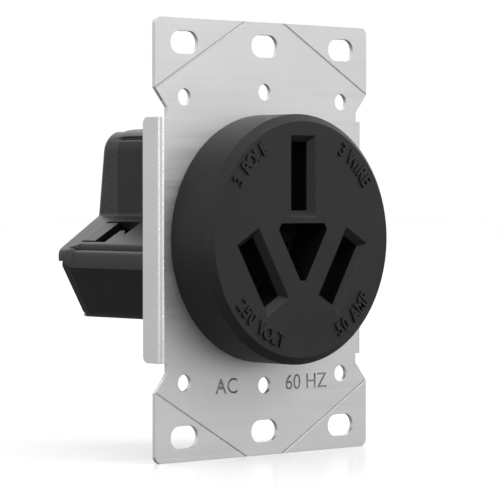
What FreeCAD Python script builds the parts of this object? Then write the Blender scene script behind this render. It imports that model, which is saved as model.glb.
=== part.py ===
import FreeCAD, Part
import os
from math import atan2, cos, sin, radians, sqrt, tan

# Flush range-cooker socket outlet, 50 A, three poles, three wires, with no earth contact.
# Millimetres. X points right, Z up, and the socket faces -Y. The wall side is +Y.
# The origin is the centre of the mounting strap, on its front face.

# Strap: one zinc-plated steel sheet, punched, scored and folded
SHEET = 1.0
STRAP_HALF_WIDTH = 31.1
STRAP_HALF_HEIGHT = 46.85
STRAP_CORNER_R = 1.6
EAR_FOOT_Z = 32.0
NECK_HALF_WIDTH = 27.8
NECK_TOP_Z = 27.95
FLANGE_HALF_WIDTH = 29.9
FLANGE_HALF_HEIGHT = 25.9
FLANGE_BACK_Y = 5.5
BEND_OUTER_R = 1.5
FLANGE_CORNER_R = 1.5
SCORE_REACH_X = 5.6
SCORE_WIDTH = 0.7
SCORE_DEPTH = 0.35

# Fixing holes of the strap
GANG_PITCH_X = 46.04
BOX_SCREW_PITCH_Z = 83.34
BOX_SLOT_LENGTH = 7.7
BOX_SLOT_HEIGHT = 4.8
PLATE_SCREW_PITCH_Z = 60.33
CENTRE_SCREW_PITCH_Z = 63.5
PLATE_HOLE_R = 1.775
STRAP_BORE_R = 23.2
KEY_NOTCH_R = 24.3
KEY_NOTCH_WIDTH = 6.3

# Face: a round moulded cup in front of the strap
FACE_R = 26.8
FACE_DEPTH = 12.16
FACE_BEVEL = 1.5
FACE_WALL = 3.2
SKIRT_WALL = 2.4
POLE_RADIUS = 13.5
SLOT_LENGTH = 14.6
SLOT_WIDTH = 4.5
RIM_LENGTH = 17.3
RIM_WIDTH = 7.3
WELL_TOP_Z = 3.46
WELL_VERTEX_Z = -10.2
WELL_CORNER_CUT = 1.6
WELL_WALL = 1.0
WELL_FLOOR = 1.6
FACE_RIB_THICK = 1.6
FACE_RIB_HEIGHT = 4.5

# Carrier: the moulding that holds the three contacts in the strap's bore
CARRIER_R = 22.9
CARRIER_FRONT = 1.6
KEY_R = 24.15
KEY_WIDTH = 6.0
TOWER_WALL = 1.0
CAVITY_LENGTH = 15.0
CAVITY_WIDTH = 7.2
TOWER_CORNER_R = 1.0
CAVITY_CORNER_R = 0.6
TOWER_TIP_GAP = 0.26
TOWER_BACK_Y = 10.3

# Rear housing: a shallow drum with three hollow arms
HOUSING_WALL = 2.0
DRUM_R = 23.6
DRUM_WALL = 1.8
DRUM_BACK_Y = 12.3
ARM_HALF_WIDTH = 8.6
TOP_ARM_REACH = 24.5
TOP_ARM_CORNER_R = 4.8
TOP_NOTCH_HALF_WIDTH = 5.4
LOWER_ARM_REACH = 22.94
LOWER_ARM_CORNER_R = 3.0
LOWER_NOTCH_HALF_WIDTH = 7.0
ARM_ROOT_FILLET = 1.0
REAR_PEAK_Y = 47.8
REAR_FLAT_Y = 47.1
REAR_SLOPE = 0.123
REAR_RIM_R = 1.8
SLANT_START_Y = 42.3
SLANT_LEAN = 1.8
REAR_INSIDE_Y = 44.35
NOTCH_FLOOR_Y = 41.6
NOTCH_SILL_DROP = 1.8
NOTCH_INNER_S = 17.8
BARRIER_THICK = 2.0
BARRIER_END_GAP = 1.0
BOSS_R = 4.5
PILOT_LENGTH = 14.0

# Snap window in the side wall of each arm
WINDOW_S0 = 7.8
WINDOW_S1 = 16.7
WINDOW_Y0 = 31.6
TONGUE_TIP_Y = 35.5
TONGUE_ROOT_Y = 40.0
SLIT = 0.6
WINDOW_STEP_Y = 28.4
WINDOW_STEP_S = 11.5
WINDOW_FOOT_S = 13.2
WINDOW_HEEL = 1.6
NIB_LENGTH = 1.6
NIB_SETBACK = 1.1
NIB_RAMP = 1.0
NIB_BITE = 0.7

# Contact jaws, spring clips, rivets and terminal bars
LEAF_THICK = 1.2
LEAF_WIDTH = 12.0
JAW_MOUTH = 2.9
JAW_THROAT = 1.45
JAW_BASE = 2.2
JAW_MOUTH_Y = -4.2
THROAT_Y0 = -1.4
THROAT_Y1 = 3.0
JAW_SPREAD_Y = 6.0
JAW_BEND_R = 0.9
CLIP_THICK = 0.6
CLIP_HEIGHT = 3.4
CLIP_GAP = 0.03
CLIP_CORNER_R = 0.8
CLIP_MOUTH = 1.0
RIVET_R = 1.25
RIVET_HEAD_R = 2.0
RIVET_HEAD = 0.8
RIVET_OFFSET = 3.0
BAR_THICK = 1.2
BAR_WIDTH = 9.0
BAR_PAD_S = 19.0
BAR_RISER_S = 6.6
BAR_TANG_S = 18.4
BAR_BEND_R = 1.8

# Box lugs and their clamping screws
LUG_S0 = 8.9
LUG_S1 = 18.0
LUG_HALF_WIDTH = 5.9
LUG_FRONT_Y = 35.0
LUG_FRONT_WALL = 1.2
LUG_SIDE_WALL = 1.2
LUG_CLEAR = 5.3
LUG_BACK_WALL = 1.6
LUG_EDGE_R = 0.8
NECK_R = 4.6
NECK_HEIGHT = 1.7
NECK_HOLE_GAP = 0.15
CLAMP_SCREW_R = 3.5
CLAMP_SCREW_LENGTH = 6.6
CLAMP_SCREW_S = 13.3
CLAMP_TIP_PROUD = 0.1
THREAD_GAP = 0.05
HEX_SOCKET = 4.0
HEX_DEPTH = 3.2
SCREW_CHAMFER = 0.5

# Centre screw, its threaded insert and the three assembly screws
CENTRE_SCREW_R = 1.95
CENTRE_HEAD_R = 3.5
CENTRE_HEAD = 2.4
CENTRE_SCREW_LENGTH = 11.6
INSERT_R = 2.7
INSERT_LENGTH = 8.0
INSERT_SINK = 0.3
SMALL_SCREW_R = 1.45
SMALL_HEAD_R = 2.8
SMALL_HEAD = 1.8
SMALL_SCREW_LENGTH = 10.0
SMALL_SCREW_RING_R = 17.0
SMALL_BOSS_R = 3.2
SMALL_HOLE_FLOOR = 1.0
SCREW_HOLE_GAP = 0.2
FIT_GAP = 0.15
HEAD_ROUNDING = 0.4
CROSS_LENGTH = 3.6
CROSS_WIDTH = 0.8
CROSS_DEPTH = 1.2

POLE_ANGLES = {"top": 0.0, "right": 120.0, "left": 240.0}
MIDDLE_ANGLES = (60.0, 180.0, 300.0)
RIVET_PLACES = {"a": -RIVET_OFFSET, "b": RIVET_OFFSET}
FACE_FRONT_Y = -FACE_DEPTH
FACE_INSIDE_Y = FACE_FRONT_Y + FACE_WALL
WELL_CENTRE_Z = WELL_TOP_Z - (WELL_TOP_Z - WELL_VERTEX_Z) / 3
WELL_HALF_WIDTH = (WELL_TOP_Z - WELL_VERTEX_Z) / sqrt(3)
SLOT_FUNNEL = (RIM_WIDTH - SLOT_WIDTH) / 2
NIB_Y = TONGUE_TIP_Y + NIB_SETBACK
LUG_FLOOR_Y = LUG_FRONT_Y + LUG_FRONT_WALL
LUG_CEILING_Y = LUG_FLOOR_Y + BAR_THICK + LUG_CLEAR
LUG_BACK_Y = LUG_CEILING_Y + LUG_BACK_WALL
SCORE_SLOPE = (STRAP_HALF_HEIGHT - EAR_FOOT_Z) / (STRAP_HALF_WIDTH - SCORE_REACH_X)
EPS = 0.5


def vec(x, y, z):
    return FreeCAD.Vector(x, y, z)


def box(x0, x1, y0, y1, z0, z1):
    return Part.makeBox(x1 - x0, y1 - y0, z1 - z0, vec(x0, y0, z0))


def rod(r, y0, y1, x=0.0, z=0.0):
    return Part.makeCylinder(r, y1 - y0, vec(x, y0, z), vec(0, 1, 0))


def prism(points, y0, y1):
    """A straight prism along Y whose outline is given as (x, z) points."""
    corners = [vec(x, y0, z) for x, z in points]
    outline = Part.makePolygon(corners + corners[:1])
    return Part.Face(outline).extrude(vec(0, y1 - y0, 0))


def turned(shape, angle):
    """A copy turned clockwise about the socket's axis, seen from the front."""
    copy = shape.copy()
    copy.rotate(vec(0, 0, 0), vec(0, 1, 0), angle)
    return copy


def fused(shapes):
    return shapes[0].multiFuse(shapes[1:]).removeSplitter()


def strip(points, bend_r, thickness, width):
    """A bent strip: its centre line runs through (s, y) points, and its width lies across them."""
    edges = []
    start = points[0]
    for before, here, after in zip(points, points[1:], points[2:]):
        a = vec(before[0] - here[0], before[1] - here[1], 0).normalize()
        b = vec(after[0] - here[0], after[1] - here[1], 0).normalize()
        half = a.getAngle(b) / 2
        setback = bend_r / tan(half)
        middle = a.add(b).normalize().multiply(bend_r / sin(half) - bend_r)
        p0 = (here[0] + a.x * setback, here[1] + a.y * setback)
        p1 = (here[0] + middle.x, here[1] + middle.y)
        p2 = (here[0] + b.x * setback, here[1] + b.y * setback)
        edges.append(Part.makeLine(vec(0, start[1], start[0]), vec(0, p0[1], p0[0])))
        edges.append(Part.Arc(*[vec(0, p[1], p[0]) for p in (p0, p1, p2)]).toShape())
        start = p2
    edges.append(Part.makeLine(vec(0, start[1], start[0]), vec(0, points[-1][1], points[-1][0])))
    path = Part.Wire(edges)
    first = vec(0, points[0][1], points[0][0])
    along = vec(0, points[1][1] - points[0][1], points[1][0] - points[0][0]).normalize()
    side = vec(width / 2, 0, 0)
    up = along.cross(vec(1, 0, 0)).multiply(thickness / 2)
    corners = [first + side + up, first - side + up, first - side - up, first + side - up]
    return path.makePipeShell([Part.makePolygon(corners + corners[:1])], True, False)


def slot_prism(length, width, corner_r, y0, y1):
    """A rectangular hole's volume with rounded corners, long along Z, centred on the axis."""
    block = box(-width / 2, width / 2, y0, y1, -length / 2, length / 2)
    if corner_r > 0:
        block = block.makeFillet(corner_r, [e for e in block.Edges if runs_along(e, vec(0, 1, 0))])
    return block


def runs_along(edge, direction):
    """True for a straight edge that is parallel to a direction."""
    if edge.Curve.TypeId != "Part::GeomLine":
        return False
    ends = edge.Vertexes
    span = ends[-1].Point - ends[0].Point
    return span.Length > 1e-6 and span.normalize().cross(direction).Length < 1e-6


def at_pole(shape, name):
    """Sets a shape made at the axis, long along Z, on its pole: radial at the top, crosswise elsewhere."""
    piece = shape if name == "top" else turned(shape, 90)
    piece = piece.copy()
    piece.translate(vec(0, 0, POLE_RADIUS))
    return turned(piece, POLE_ANGLES[name])


# Mounting strap


def strap_outline():
    """The sheet's outline without its flanges, corner by corner through the upper right quarter."""
    quarter = [(NECK_HALF_WIDTH, NECK_TOP_Z), (STRAP_HALF_WIDTH, EAR_FOOT_Z),
               (STRAP_HALF_WIDTH, STRAP_HALF_HEIGHT)]
    right = [(x, -z) for x, z in reversed(quarter)] + quarter
    return right + [(-x, z) for x, z in reversed(quarter)] + [(-x, -z) for x, z in quarter]


def side_flange():
    """One folded flange: a quarter bend and a flat flange with rounded back corners."""
    inner_r = BEND_OUTER_R - SHEET
    bend_x = FLANGE_HALF_WIDTH - BEND_OUTER_R
    z = -FLANGE_HALF_HEIGHT
    c = 1 / sqrt(2)
    outer = Part.Arc(vec(bend_x, 0, z),
                     vec(bend_x + BEND_OUTER_R * c, BEND_OUTER_R * (1 - c), z),
                     vec(FLANGE_HALF_WIDTH, BEND_OUTER_R, z)).toShape()
    inner = Part.Arc(vec(FLANGE_HALF_WIDTH - SHEET, BEND_OUTER_R, z),
                     vec(bend_x + inner_r * c, BEND_OUTER_R - inner_r * c, z),
                     vec(bend_x, SHEET, z)).toShape()
    flat_out = Part.makeLine(vec(FLANGE_HALF_WIDTH, BEND_OUTER_R, z),
                             vec(FLANGE_HALF_WIDTH, FLANGE_BACK_Y, z))
    back = Part.makeLine(vec(FLANGE_HALF_WIDTH, FLANGE_BACK_Y, z),
                         vec(FLANGE_HALF_WIDTH - SHEET, FLANGE_BACK_Y, z))
    flat_in = Part.makeLine(vec(FLANGE_HALF_WIDTH - SHEET, FLANGE_BACK_Y, z),
                            vec(FLANGE_HALF_WIDTH - SHEET, BEND_OUTER_R, z))
    root = Part.makeLine(vec(bend_x, SHEET, z), vec(bend_x, 0, z))
    section = Part.Face(Part.Wire([outer, flat_out, back, flat_in, inner, root]))
    flange = section.extrude(vec(0, 0, 2 * FLANGE_HALF_HEIGHT))
    corners = [e for e in flange.Edges if runs_along(e, vec(1, 0, 0))
               and abs(e.CenterOfMass.y - FLANGE_BACK_Y) < 1e-6]
    return flange.makeFillet(FLANGE_CORNER_R, corners)


def score_line(sign_x, sign_z):
    """The V groove from an ear's foot to the end of the strap, where the corner breaks off."""
    start = vec(sign_x * (STRAP_HALF_WIDTH + EPS), 0, sign_z * (EAR_FOOT_Z - EPS * SCORE_SLOPE))
    end = vec(sign_x * (SCORE_REACH_X - EPS), 0, sign_z * (STRAP_HALF_HEIGHT + EPS * SCORE_SLOPE))
    along = (end - start).normalize()
    side = along.cross(vec(0, 1, 0)).multiply(SCORE_WIDTH / 2)
    corners = [start + side, start - side, start + vec(0, SCORE_DEPTH, 0)]
    return Part.Face(Part.makePolygon(corners + corners[:1])).extrude(end - start)


def oval_slot(x, z):
    """A fixing slot, long along X, with half-round ends."""
    end_r = BOX_SLOT_HEIGHT / 2
    straight = BOX_SLOT_LENGTH / 2 - end_r
    ends = [rod(end_r, -EPS, SHEET + EPS, x + sign * straight, z) for sign in (-1, 1)]
    middle = box(x - straight, x + straight, -EPS, SHEET + EPS, z - end_r, z + end_r)
    return fused([middle] + ends)


def mounting_strap():
    plate = prism(strap_outline(), 0, SHEET)
    ear_corners = [e for e in plate.Edges if runs_along(e, vec(0, 1, 0))
                   and abs(abs(e.CenterOfMass.z) - STRAP_HALF_HEIGHT) < 1e-6]
    plate = plate.makeFillet(STRAP_CORNER_R, ear_corners)
    right = side_flange()
    left = right.mirror(vec(0, 0, 0), vec(1, 0, 0))
    web_half = FLANGE_HALF_WIDTH - BEND_OUTER_R
    web = box(-web_half, web_half, 0, SHEET, -FLANGE_HALF_HEIGHT, FLANGE_HALF_HEIGHT)
    plate = fused([plate, web, right, left])
    holes = [rod(STRAP_BORE_R, -EPS, SHEET + EPS)]
    holes += [turned(box(-KEY_NOTCH_WIDTH / 2, KEY_NOTCH_WIDTH / 2, -EPS, SHEET + EPS, 0, KEY_NOTCH_R), a)
              for a in MIDDLE_ANGLES]
    for sign in (-1, 1):
        for x in (-GANG_PITCH_X / 2, 0, GANG_PITCH_X / 2):
            holes.append(oval_slot(x, sign * BOX_SCREW_PITCH_Z / 2))
            pitch_z = CENTRE_SCREW_PITCH_Z if x == 0 else PLATE_SCREW_PITCH_Z
            holes.append(rod(PLATE_HOLE_R, -EPS, SHEET + EPS, x, sign * pitch_z / 2))
        holes += [score_line(sign, 1), score_line(sign, -1)]
    return plate.cut(holes)


# Face cover


def well_section(grow):
    """The triangular well's outline, point down, with its corners cut off."""
    half = WELL_HALF_WIDTH
    cut = WELL_CORNER_CUT
    top, low = WELL_TOP_Z, WELL_VERTEX_Z
    points = [(half - cut, top), (half - cut / 2, top - cut * sin(radians(60))),
              (cut / 2, low + cut * sin(radians(60))), (-cut / 2, low + cut * sin(radians(60))),
              (-half + cut / 2, top - cut * sin(radians(60))), (-half + cut, top)]
    inradius = WELL_HALF_WIDTH / sqrt(3)
    scale = (inradius + grow) / inradius
    return [(x * scale, WELL_CENTRE_Z + (z - WELL_CENTRE_Z) * scale) for x, z in points]


def slot_tool(y0, y1):
    """A blade slot through the face with its sloped lead-in."""
    straight = slot_prism(SLOT_LENGTH, SLOT_WIDTH, 0, y0, y1)
    sections = []
    for grow, y in ((SLOT_FUNNEL + EPS, FACE_FRONT_Y - EPS), (0, FACE_FRONT_Y + SLOT_FUNNEL)):
        w = SLOT_WIDTH / 2 + grow
        h = SLOT_LENGTH / 2 + grow
        corners = [vec(-w, y, -h), vec(w, y, -h), vec(w, y, h), vec(-w, y, h)]
        sections.append(Part.makePolygon(corners + corners[:1]))
    return straight.fuse(Part.makeLoft(sections, True, True))


def face_cover():
    body = rod(FACE_R, FACE_FRONT_Y, 0)
    front_rim = [e for e in body.Edges if abs(e.CenterOfMass.y - FACE_FRONT_Y) < 1e-6 and e.Length > FACE_R]
    body = body.makeChamfer(FACE_BEVEL, front_rim)
    body = body.cut(rod(FACE_R - SKIRT_WALL, FACE_INSIDE_Y, EPS))
    well_back_y = -CARRIER_FRONT
    parts = [body, prism(well_section(WELL_WALL), FACE_INSIDE_Y - EPS, well_back_y)]
    for angle in MIDDLE_ANGLES:
        rib = box(-FACE_RIB_THICK / 2, FACE_RIB_THICK / 2, FACE_INSIDE_Y - EPS,
                  FACE_INSIDE_Y + FACE_RIB_HEIGHT, WELL_HALF_WIDTH, FACE_R - SKIRT_WALL + EPS)
        parts.append(turned(rib, angle))
    body = fused(parts)
    cuts = [prism(well_section(0), FACE_FRONT_Y - EPS, well_back_y - WELL_FLOOR)]
    cuts.append(rod(CENTRE_SCREW_R + SCREW_HOLE_GAP, well_back_y - WELL_FLOOR - EPS, EPS, 0, WELL_CENTRE_Z))
    for name in POLE_ANGLES:
        cuts.append(at_pole(slot_tool(FACE_FRONT_Y, FACE_INSIDE_Y + EPS), name))
    return body.cut(cuts)


# Contact carrier


def contact_carrier():
    tower_tip = FACE_INSIDE_Y + TOWER_TIP_GAP
    parts = [rod(CARRIER_R, -CARRIER_FRONT, SHEET)]
    for angle in MIDDLE_ANGLES:
        key = box(-KEY_WIDTH / 2, KEY_WIDTH / 2, -CARRIER_FRONT, SHEET, 0, KEY_R)
        key = key.common(rod(KEY_R, -CARRIER_FRONT, SHEET))
        parts.append(turned(key, angle))
    for name in POLE_ANGLES:
        tower = slot_prism(CAVITY_LENGTH + 2 * TOWER_WALL, CAVITY_WIDTH + 2 * TOWER_WALL, TOWER_CORNER_R,
                           tower_tip, TOWER_BACK_Y)
        parts.append(at_pole(tower, name))
    body = fused(parts)
    cuts = [rod(CENTRE_SCREW_R + SCREW_HOLE_GAP, -CARRIER_FRONT - EPS, SHEET + EPS, 0, WELL_CENTRE_Z)]
    for name in POLE_ANGLES:
        cavity = slot_prism(CAVITY_LENGTH, CAVITY_WIDTH, CAVITY_CORNER_R, tower_tip - EPS, TOWER_BACK_Y + EPS)
        cuts.append(at_pole(cavity, name))
    for angle in MIDDLE_ANGLES:
        hole = rod(SMALL_SCREW_R + SCREW_HOLE_GAP, -CARRIER_FRONT - EPS, SHEET + EPS, 0,
                   SMALL_SCREW_RING_R)
        cuts.append(turned(hole, angle))
    return body.cut(cuts)


# Rear housing


def of_arm(name, top_value, lower_value):
    """The top arm is longer than the two lower ones, and its end is crowned on a circle about the axis."""
    return top_value if name == "top" else lower_value


def straight_arm(name, inset, y0, y1):
    """One arm that points up from the axis, straight along Y and set in all round."""
    w = ARM_HALF_WIDTH - inset
    reach = of_arm(name, TOP_ARM_REACH, LOWER_ARM_REACH) - inset
    r = of_arm(name, TOP_ARM_CORNER_R, LOWER_ARM_CORNER_R) - inset
    centre_s = of_arm(name, sqrt((reach - r) ** 2 - (w - r) ** 2), reach - r)
    lean = of_arm(name, atan2(w - r, centre_s), 0)
    corner = [(w - r + r * sin(turn), centre_s + r * cos(turn))
              for turn in (radians(90), (lean + radians(90)) / 2, lean)]
    right = [vec(t, y0, s) for t, s in corner]
    left = [vec(-t, y0, s) for t, s in reversed(corner)]
    foot = [vec(-w, y0, 0), vec(w, y0, 0)]
    if name == "top":
        end = Part.Arc(right[-1], vec(0, y0, reach), left[0]).toShape()
    else:
        end = Part.makeLine(right[-1], left[0])
    outline = Part.Wire([Part.makeLine(*foot), Part.makeLine(foot[1], right[0]), Part.Arc(*right).toShape(),
                         end, Part.Arc(*left).toShape(), Part.makeLine(left[-1], foot[0])])
    return Part.Face(outline).extrude(vec(0, y1 - y0, 0))


def across(points, half_width):
    """A prism across an upward arm whose outline is given as (s, y) points along it."""
    corners = [vec(-half_width, y, s) for s, y in points]
    return Part.Face(Part.makePolygon(corners + corners[:1])).extrude(vec(2 * half_width, 0, 0))


def arm(name):
    """One arm. Its back face falls towards the tip, with a rounded rim; a lower arm is slanted there."""
    end_y = REAR_PEAK_Y + EPS
    far = of_arm(name, TOP_ARM_REACH, LOWER_ARM_REACH) + EPS
    body = straight_arm(name, 0, SHEET, end_y)
    body = body.cut(across([(0, REAR_PEAK_Y), (far, REAR_PEAK_Y - REAR_SLOPE * far), (far, end_y + EPS),
                            (0, end_y + EPS)], far))
    back_face = max(body.Faces, key=lambda face: face.CenterOfMass.y)
    body = body.makeFillet(REAR_RIM_R, [e for e in back_face.Edges if e.CenterOfMass.z > EPS])
    if name == "top":
        return body
    slant_foot_y = SLANT_START_Y - EPS / SLANT_LEAN
    slant_top_s = far - (end_y - slant_foot_y) * SLANT_LEAN
    return body.cut(across([(far, slant_foot_y), (far, end_y), (slant_top_s, end_y)], far))


def root_edges(shape):
    """The edges along Y in the three inner corners between the arms."""
    corner_r = ARM_HALF_WIDTH / sin(radians(60))
    found = []
    for edge in shape.Edges:
        middle = edge.CenterOfMass
        off_axis = sqrt(middle.x ** 2 + middle.z ** 2)
        if abs(off_axis - corner_r) < EPS and edge.BoundBox.YLength > HOUSING_WALL:
            found.append(edge)
    return found


def window_tool():
    """The snap window through an arm's side wall, with the slits that free the tongue."""
    points = [(WINDOW_Y0, WINDOW_S1), (TONGUE_TIP_Y, WINDOW_S1), (TONGUE_TIP_Y, WINDOW_S0),
              (WINDOW_STEP_Y, WINDOW_S0), (WINDOW_STEP_Y, WINDOW_FOOT_S),
              (WINDOW_Y0 - WINDOW_HEEL, WINDOW_STEP_S), (WINDOW_Y0, WINDOW_STEP_S)]
    x0 = ARM_HALF_WIDTH - HOUSING_WALL - EPS / 10
    corners = [vec(x0, y, s) for y, s in points]
    opening = Part.Face(Part.makePolygon(corners + corners[:1])).extrude(vec(HOUSING_WALL + EPS, 0, 0))
    slits = [box(x0, x0 + HOUSING_WALL + EPS, TONGUE_TIP_Y - EPS, TONGUE_ROOT_Y, s, s + SLIT)
             for s in (WINDOW_S0, WINDOW_S1 - SLIT)]
    return opening.multiFuse(slits)


def snap_nib():
    """The wedge on the inside of the tongue, near its tip, which catches in the lug's side."""
    root_x = ARM_HALF_WIDTH - HOUSING_WALL + EPS
    tip_x = LUG_HALF_WIDTH - NIB_BITE
    corners = [vec(root_x, NIB_Y, 0), vec(root_x - EPS, NIB_Y, 0), vec(tip_x, NIB_Y + NIB_RAMP, 0),
               vec(tip_x, NIB_Y + NIB_LENGTH, 0), vec(root_x, NIB_Y + NIB_LENGTH, 0)]
    width = WINDOW_S1 - WINDOW_S0 - 4 * SLIT
    wedge = Part.Face(Part.makePolygon(corners + corners[:1])).extrude(vec(0, 0, width))
    wedge.translate(vec(0, 0, WINDOW_S0 + 2 * SLIT))
    return wedge


def wire_notch(name):
    """The notch for one wire: through the end wall, over a sill that falls inwards, and through the back."""
    reach = of_arm(name, TOP_ARM_REACH, LOWER_ARM_REACH)
    half_width = of_arm(name, TOP_NOTCH_HALF_WIDTH, LOWER_NOTCH_HALF_WIDTH)
    sill_y = NOTCH_FLOOR_Y - NOTCH_SILL_DROP
    inner_s = reach - HOUSING_WALL
    section = [(inner_s - EPS, sill_y), (inner_s, sill_y), (reach, NOTCH_FLOOR_Y),
               (reach + EPS, NOTCH_FLOOR_Y), (reach + EPS, REAR_PEAK_Y), (inner_s - EPS, REAR_PEAK_Y)]
    hollow_half = ARM_HALF_WIDTH - HOUSING_WALL
    hollow = box(-hollow_half, hollow_half, sill_y, REAR_PEAK_Y, NOTCH_INNER_S, inner_s)
    return across(section, half_width).fuse(hollow)


def rear_housing():
    arms = fused([turned(arm(name), angle) for name, angle in POLE_ANGLES.items()])
    arms = arms.cut(rod(DRUM_R, REAR_FLAT_Y, REAR_PEAK_Y + EPS))
    arms = arms.makeFillet(ARM_ROOT_FILLET, root_edges(arms))
    outside = fused([arms, rod(DRUM_R, SHEET, DRUM_BACK_Y)])
    hollows = [turned(straight_arm(name, HOUSING_WALL, SHEET - EPS, REAR_INSIDE_Y), angle)
               for name, angle in POLE_ANGLES.items()]
    shell = outside.cut(fused(hollows + [rod(DRUM_R - DRUM_WALL, SHEET - EPS, DRUM_BACK_Y - DRUM_WALL)]))
    inside = [rod(BOSS_R, SHEET, REAR_INSIDE_Y + EPS, 0, WELL_CENTRE_Z)]
    for angle in MIDDLE_ANGLES:
        barrier = box(-BARRIER_THICK / 2, BARRIER_THICK / 2, DRUM_BACK_Y - DRUM_WALL, REAR_INSIDE_Y + EPS,
                      0, ARM_HALF_WIDTH / sin(radians(60)) - BARRIER_END_GAP)
        inside.append(turned(barrier, angle))
        boss = rod(SMALL_BOSS_R, SHEET, DRUM_BACK_Y - EPS, 0, SMALL_SCREW_RING_R)
        inside.append(turned(boss, angle))
    for angle in POLE_ANGLES.values():
        inside.append(turned(snap_nib(), angle))
    shell = fused([shell] + inside)
    cuts = [rod(INSERT_R, SHEET - EPS, SHEET + INSERT_SINK + INSERT_LENGTH, 0, WELL_CENTRE_Z)]
    cuts.append(rod(CENTRE_SCREW_R + SCREW_HOLE_GAP, SHEET, SHEET + PILOT_LENGTH, 0, WELL_CENTRE_Z))
    for angle in MIDDLE_ANGLES:
        bore = rod(SMALL_SCREW_R, SHEET - EPS, DRUM_BACK_Y - SMALL_HOLE_FLOOR, 0, SMALL_SCREW_RING_R)
        cuts.append(turned(bore, angle))
    for name, angle in POLE_ANGLES.items():
        access = rod(NECK_R + NECK_HOLE_GAP, REAR_INSIDE_Y - EPS, REAR_PEAK_Y + EPS, 0, CLAMP_SCREW_S)
        cuts += [turned(tool, angle) for tool in (window_tool(), wire_notch(name), access)]
    return shell.cut(cuts)


# Contact jaws, rivets, spring clips and terminal bars
# What belongs to a jaw is made at the axis, long along Z, and set on its pole afterwards


def jaw():
    """One folded brass jaw: two leaves with a flared mouth, a pinched throat and a flat base."""
    base_y = TOWER_BACK_Y - LEAF_THICK / 2
    leaf = [(JAW_MOUTH, JAW_MOUTH_Y), (JAW_THROAT, THROAT_Y0), (JAW_THROAT, THROAT_Y1),
            (JAW_BASE, JAW_SPREAD_Y), (JAW_BASE, base_y)]
    path = leaf + [(-s, y) for s, y in reversed(leaf)]
    body = turned(strip(path, JAW_BEND_R, LEAF_THICK, LEAF_WIDTH), 90)
    return body.cut([rivet_shank(place, base_y - LEAF_THICK, base_y + LEAF_THICK) for place in RIVET_PLACES])


def rivet_shank(place, y0, y1):
    return rod(RIVET_R, y0, y1, 0, RIVET_PLACES[place])


def jaw_rivet(place):
    """A flush-fronted rivet with a domed head behind the bar's pad."""
    back = TOWER_BACK_Y + BAR_THICK
    ball_r = (RIVET_HEAD_R ** 2 + RIVET_HEAD ** 2) / (2 * RIVET_HEAD)
    shank = rivet_shank(place, TOWER_BACK_Y - LEAF_THICK, back + RIVET_HEAD / 2)
    z = RIVET_PLACES[place]
    ball = Part.makeSphere(ball_r, vec(0, back + RIVET_HEAD - ball_r, z))
    head = ball.common(rod(RIVET_HEAD_R + EPS, back, back + RIVET_HEAD, 0, z))
    return fused([shank, head])


def spring_clip():
    """A spring-steel clip that hugs both leaves at the throat, open on one side."""
    leaf_face = JAW_THROAT + LEAF_THICK / 2 + CLIP_GAP
    end = LEAF_WIDTH / 2 + CLIP_GAP
    y0 = THROAT_Y0 + EPS
    inner = box(-leaf_face, leaf_face, THROAT_Y0, THROAT_Y1, -LEAF_WIDTH, end)
    outer = box(-leaf_face - CLIP_THICK, leaf_face + CLIP_THICK, y0, y0 + CLIP_HEIGHT,
                CLIP_MOUTH - end, end + CLIP_THICK)
    corners = [e for e in outer.Edges if runs_along(e, vec(0, 1, 0)) and e.CenterOfMass.z > 0]
    return outer.makeFillet(CLIP_CORNER_R, corners).cut(inner)


def terminal_bar(name):
    """A bent brass bar: pad behind the jaw, riser down the arm, tang into the lug."""
    pad_y = TOWER_BACK_Y + BAR_THICK / 2
    tang_y = LUG_FLOOR_Y + BAR_THICK / 2
    path = [(BAR_PAD_S, pad_y), (BAR_RISER_S, pad_y), (BAR_RISER_S, tang_y), (BAR_TANG_S, tang_y)]
    bar = turned(strip(path, BAR_BEND_R, BAR_THICK, BAR_WIDTH), POLE_ANGLES[name])
    holes = [rivet_shank(place, TOWER_BACK_Y - EPS, TOWER_BACK_Y + BAR_THICK + EPS) for place in RIVET_PLACES]
    return bar.cut([at_pole(hole, name) for hole in holes])


# Box lugs and clamping screws


def terminal_lug():
    """A box lug whose back wall is drawn out into a threaded neck."""
    w = LUG_HALF_WIDTH
    body = box(-w, w, LUG_FRONT_Y, LUG_BACK_Y, LUG_S0, LUG_S1)
    body = body.makeFillet(LUG_EDGE_R, [e for e in body.Edges if runs_along(e, vec(0, 0, 1))])
    neck = rod(NECK_R, LUG_BACK_Y - EPS, LUG_BACK_Y + NECK_HEIGHT, 0, CLAMP_SCREW_S)
    body = fused([body, neck])
    inner = w - LUG_SIDE_WALL
    passage = box(-inner, inner, LUG_FLOOR_Y, LUG_CEILING_Y, LUG_S0 - EPS, LUG_S1 + EPS)
    thread = rod(CLAMP_SCREW_R + THREAD_GAP, LUG_CEILING_Y - EPS, LUG_BACK_Y + NECK_HEIGHT + EPS,
                 0, CLAMP_SCREW_S)
    catch = box(w - NIB_BITE - FIT_GAP, w + EPS, NIB_Y - FIT_GAP, NIB_Y + NIB_LENGTH + FIT_GAP,
                WINDOW_S0 + 2 * SLIT - FIT_GAP, WINDOW_S1 - 2 * SLIT + FIT_GAP)
    return body.cut([passage, thread, catch])


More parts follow.
